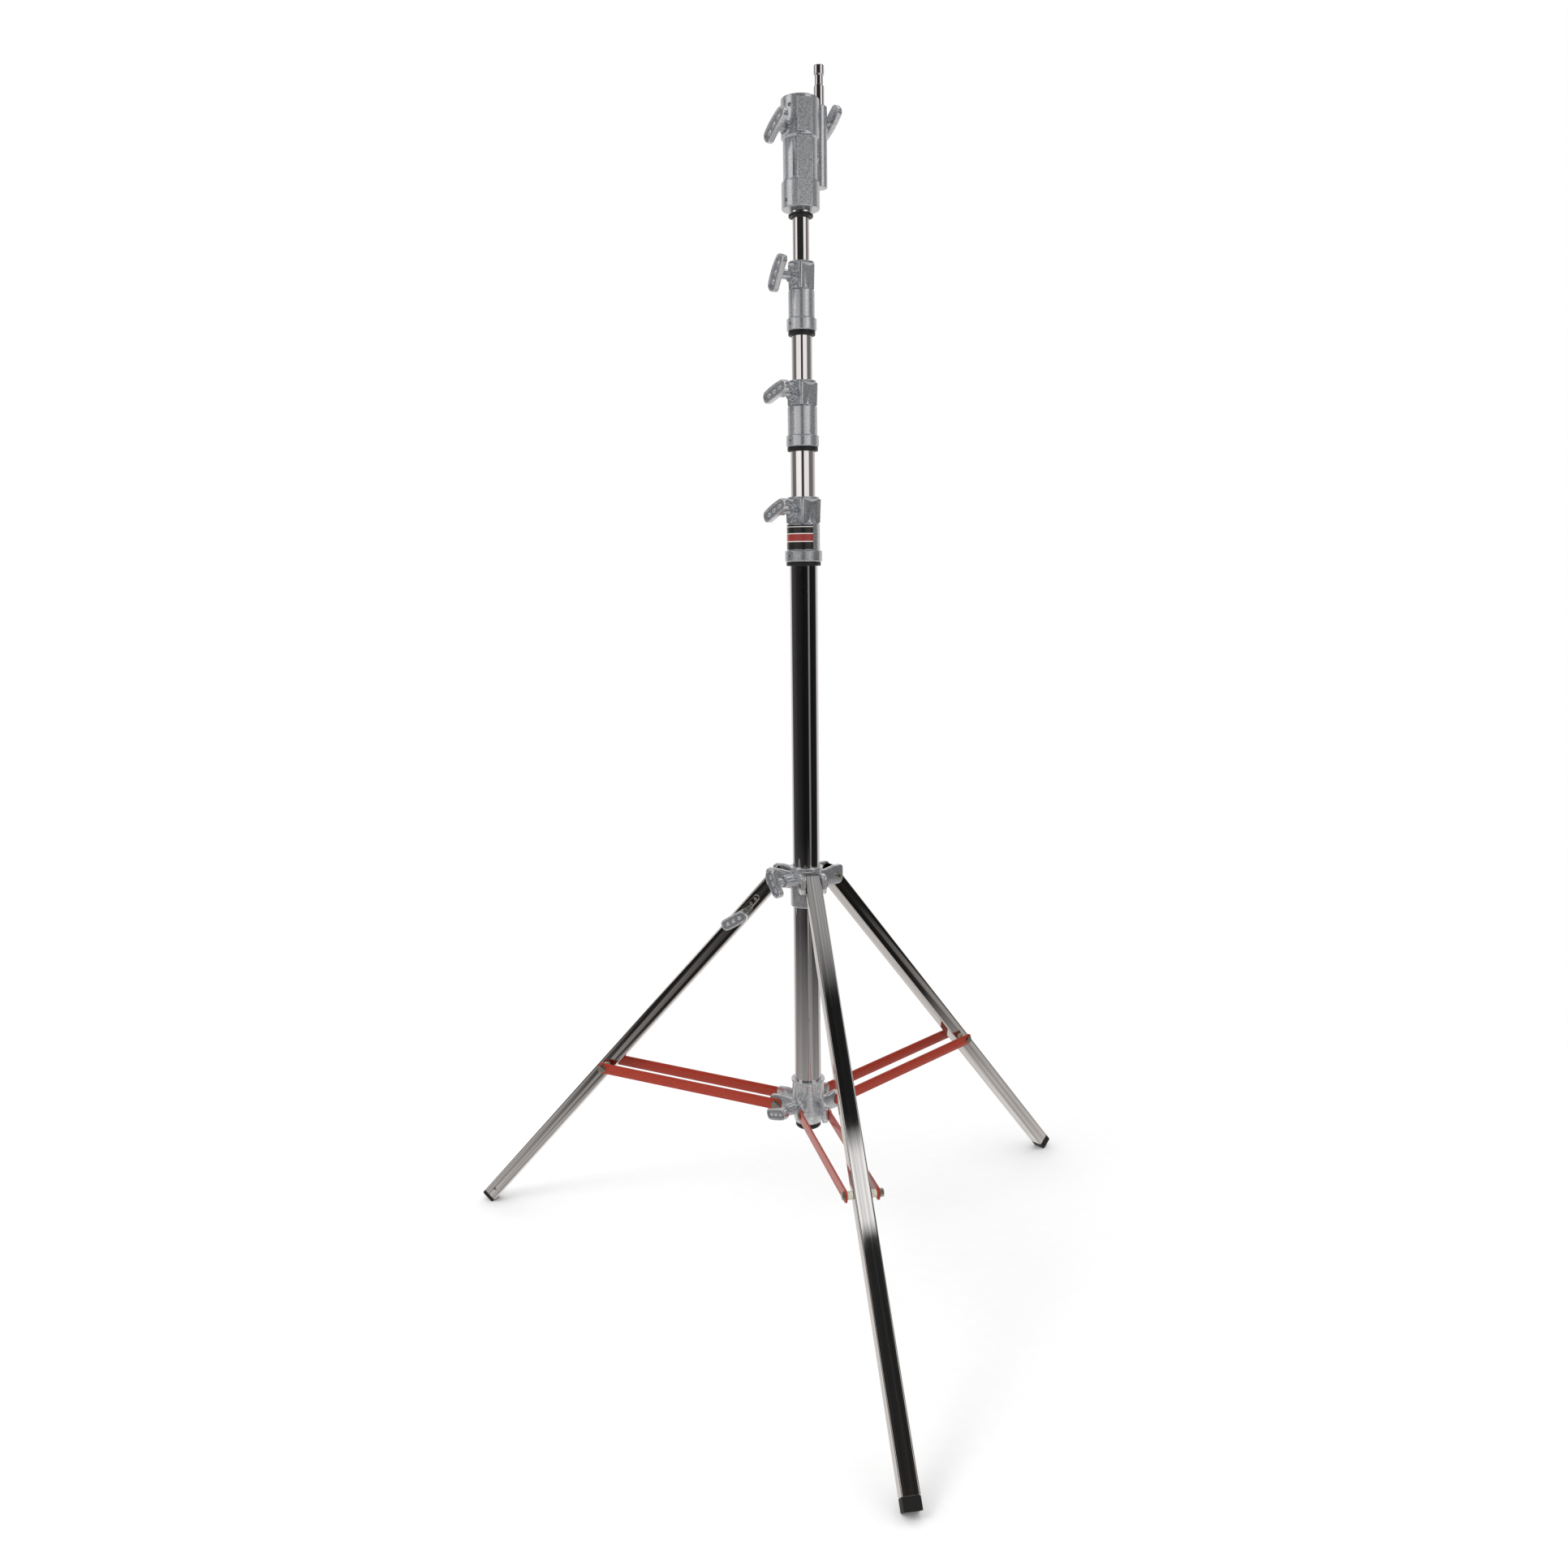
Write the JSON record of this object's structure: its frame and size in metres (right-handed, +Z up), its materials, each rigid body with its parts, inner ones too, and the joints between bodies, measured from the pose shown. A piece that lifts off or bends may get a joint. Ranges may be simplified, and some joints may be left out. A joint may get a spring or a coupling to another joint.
{
  "type": "combo light stand",
  "caption": "Tall steel combo stand: telescoping column with clamp collars, junior receiver with baby pin, and a folding three-leg base with braces and a levelling leg.",
  "frame": {"origin": "middle of the footprint, on the ground", "axes": "+Z up along the column, -Y towards the front leg"},
  "size_m": [1.1436, 0.9908, 1.9392],
  "materials": {
    "chrome_tube": "mirror chrome plate on round steel tube",
    "chrome_leg": "bright chrome plate on square steel tube",
    "die_casting": "polished die casting, satin in the corners",
    "zinc_bolt": "zinc plated",
    "red_paint": "semi-gloss maroon enamel",
    "black_rubber": "matt moulded rubber",
    "black_nylon": "moulded black nylon",
    "white_nylon": "natural nylon"
  },
  "bodies": {
    "column": {"base_tube": "chrome_tube", "collar_1": "die_casting", "collar_ring_1": "black_nylon", "lower_casting": "die_casting", "end_plug": "black_nylon"},
    "hub": {"leg_hub": "die_casting", "leg_pin_front": "zinc_bolt", "leg_pin_left": "zinc_bolt", "leg_pin_right": "zinc_bolt"},
    "leg_front": {"leg_front": "chrome_leg", "foot_front": "black_rubber"},
    "leg_right": {"leg_right": "chrome_leg", "foot_right": "black_rubber"},
    "leg_left": {"leg_left": "chrome_leg"},
    "levelling_leg": {"levelling_leg": "chrome_leg", "foot_left": "black_rubber"},
    "riser_1": {"riser_1_tube": "chrome_tube", "collar_2": "die_casting", "collar_ring_2": "black_nylon", "guide_bush_1": "white_nylon"},
    "riser_2": {"riser_2_tube": "chrome_tube", "collar_3": "die_casting", "collar_ring_3": "black_nylon", "guide_bush_2": "white_nylon"},
    "riser_3": {"riser_3_tube": "chrome_tube", "receiver": "die_casting", "receiver_ring": "black_nylon"},
    "baby_pin": {"baby_pin": "chrome_tube"},
    "brace_front": {"strap_front_a": "red_paint", "strap_front_b": "red_paint", "spacer_front_a": "white_nylon", "spacer_front_b": "white_nylon", "leg_bolt_front_a": "zinc_bolt", "leg_bolt_front_b": "zinc_bolt", "fork_bolt_front_a": "zinc_bolt", "fork_bolt_front_b": "zinc_bolt"},
    "brace_right": {"strap_right_a": "red_paint", "strap_right_b": "red_paint", "spacer_right_a": "white_nylon", "spacer_right_b": "white_nylon", "leg_bolt_right_a": "zinc_bolt", "leg_bolt_right_b": "zinc_bolt", "fork_bolt_right_a": "zinc_bolt", "fork_bolt_right_b": "zinc_bolt"},
    "brace_left": {"strap_left_a": "red_paint", "strap_left_b": "red_paint", "spacer_left_a": "white_nylon", "spacer_left_b": "white_nylon", "leg_bolt_left_a": "zinc_bolt", "leg_bolt_left_b": "zinc_bolt", "fork_bolt_left_a": "zinc_bolt", "fork_bolt_left_b": "zinc_bolt"},
    "knob_collar_1": {"knob_collar_1": "die_casting"},
    "knob_collar_2": {"knob_collar_2": "die_casting"},
    "knob_collar_3": {"knob_collar_3": "die_casting"},
    "knob_receiver": {"knob_receiver": "die_casting"},
    "knob_baby_pin": {"knob_baby_pin": "die_casting"},
    "knob_hub": {"knob_hub": "die_casting"},
    "knob_casting": {"knob_casting": "die_casting"},
    "knob_leg": {"knob_leg": "die_casting"}
  },
  "joints": [
    {"name": "hub_slide", "type": "slide", "parent": "column", "child": "hub", "axis": [0, 0, 1], "range_m": [0, 0.4324]},
    {"name": "leg_front_fold", "type": "hinge", "parent": "hub", "child": "leg_front", "pos_m": [0, 0.1064, 0.6754], "axis": [1, 0, 0], "range_deg": [0, 41.6]},
    {"name": "brace_front_fold", "type": "hinge", "parent": "column", "child": "brace_front", "pos_m": [0, 0.1076, 0.2802], "axis": [-1, 0, 0], "range_deg": [0, 85.72]},
    {"name": "leg_right_fold", "type": "hinge", "parent": "hub", "child": "leg_right", "pos_m": [0.04503, 0.1844, 0.6754], "axis": [-0.5, 0.866, 0], "range_deg": [0, 41.6]},
    {"name": "brace_right_fold", "type": "hinge", "parent": "column", "child": "brace_right", "pos_m": [0.04399, 0.1838, 0.2802], "axis": [0.5, -0.866, 0], "range_deg": [0, 85.72]},
    {"name": "leg_left_fold", "type": "hinge", "parent": "hub", "child": "leg_left", "pos_m": [-0.04503, 0.1844, 0.6754], "axis": [-0.5, -0.866, 0], "range_deg": [0, 41.6]},
    {"name": "brace_left_fold", "type": "hinge", "parent": "column", "child": "brace_left", "pos_m": [-0.04399, 0.1838, 0.2802], "axis": [0.5, 0.866, 0], "range_deg": [0, 85.72]},
    {"name": "levelling_leg_slide", "type": "slide", "parent": "leg_left", "child": "levelling_leg", "axis": [-0.5745, 0.3317, -0.7483], "range_m": [0, 0.3]},
    {"name": "riser_1_slide", "type": "slide", "parent": "column", "child": "riser_1", "axis": [0, 0, 1], "range_m": [-0.068, 0.69]},
    {"name": "riser_2_slide", "type": "slide", "parent": "riser_1", "child": "riser_2", "axis": [0, 0, 1], "range_m": [-0.065, 0.72]},
    {"name": "riser_3_slide", "type": "slide", "parent": "riser_2", "child": "riser_3", "axis": [0, 0, 1], "range_m": [-0.062, 0.75]},
    {"name": "baby_pin_slide", "type": "slide", "parent": "riser_3", "child": "baby_pin", "axis": [0, 0, 1], "range_m": [0, 0.07]},
    {"name": "knob_collar_1_turn", "type": "hinge", "parent": "column", "child": "knob_collar_1", "pos_m": [-0.0433, 0.1334, 1.27405], "axis": [-0.866, -0.5, 0], "range_deg": [0, 360]},
    {"name": "knob_collar_2_turn", "type": "hinge", "parent": "riser_1", "child": "knob_collar_2", "pos_m": [-0.0433, 0.1334, 1.4529], "axis": [-0.866, -0.5, 0], "range_deg": [0, 360]},
    {"name": "knob_collar_3_turn", "type": "hinge", "parent": "riser_2", "child": "knob_collar_3", "pos_m": [-0.0433, 0.1334, 1.62738], "axis": [-0.866, -0.5, 0], "range_deg": [0, 360]},
    {"name": "knob_receiver_turn", "type": "hinge", "parent": "riser_3", "child": "knob_receiver", "pos_m": [-0.0433, 0.1334, 1.837], "axis": [-0.866, -0.5, 0], "range_deg": [0, 360]},
    {"name": "knob_baby_pin_turn", "type": "hinge", "parent": "riser_3", "child": "knob_baby_pin", "pos_m": [0.0433, 0.1834, 1.861], "axis": [0.866, 0.5, 0], "range_deg": [0, 360]},
    {"name": "knob_hub_turn", "type": "hinge", "parent": "hub", "child": "knob_hub", "pos_m": [-0.0433, 0.1334, 0.6779], "axis": [-0.866, -0.5, 0], "range_deg": [0, 360]},
    {"name": "knob_casting_turn", "type": "hinge", "parent": "column", "child": "knob_casting", "pos_m": [-0.0433, 0.1334, 0.2802], "axis": [-0.866, -0.5, 0], "range_deg": [0, 360]},
    {"name": "knob_leg_turn", "type": "hinge", "parent": "leg_left", "child": "knob_leg", "pos_m": [-0.10134, 0.21691, 0.60207], "axis": [-0.5, -0.866, 0], "range_deg": [0, 360]}
  ],
  "couplings": [
    {"joint": "leg_front_fold", "follows": "hub_slide", "rad_per_m": 1.6775},
    {"joint": "brace_front_fold", "follows": "hub_slide", "rad_per_m": 3.4578},
    {"joint": "leg_right_fold", "follows": "hub_slide", "rad_per_m": 1.6775},
    {"joint": "brace_right_fold", "follows": "hub_slide", "rad_per_m": 3.4578},
    {"joint": "leg_left_fold", "follows": "hub_slide", "rad_per_m": 1.6775},
    {"joint": "brace_left_fold", "follows": "hub_slide", "rad_per_m": 3.4578}
  ]
}
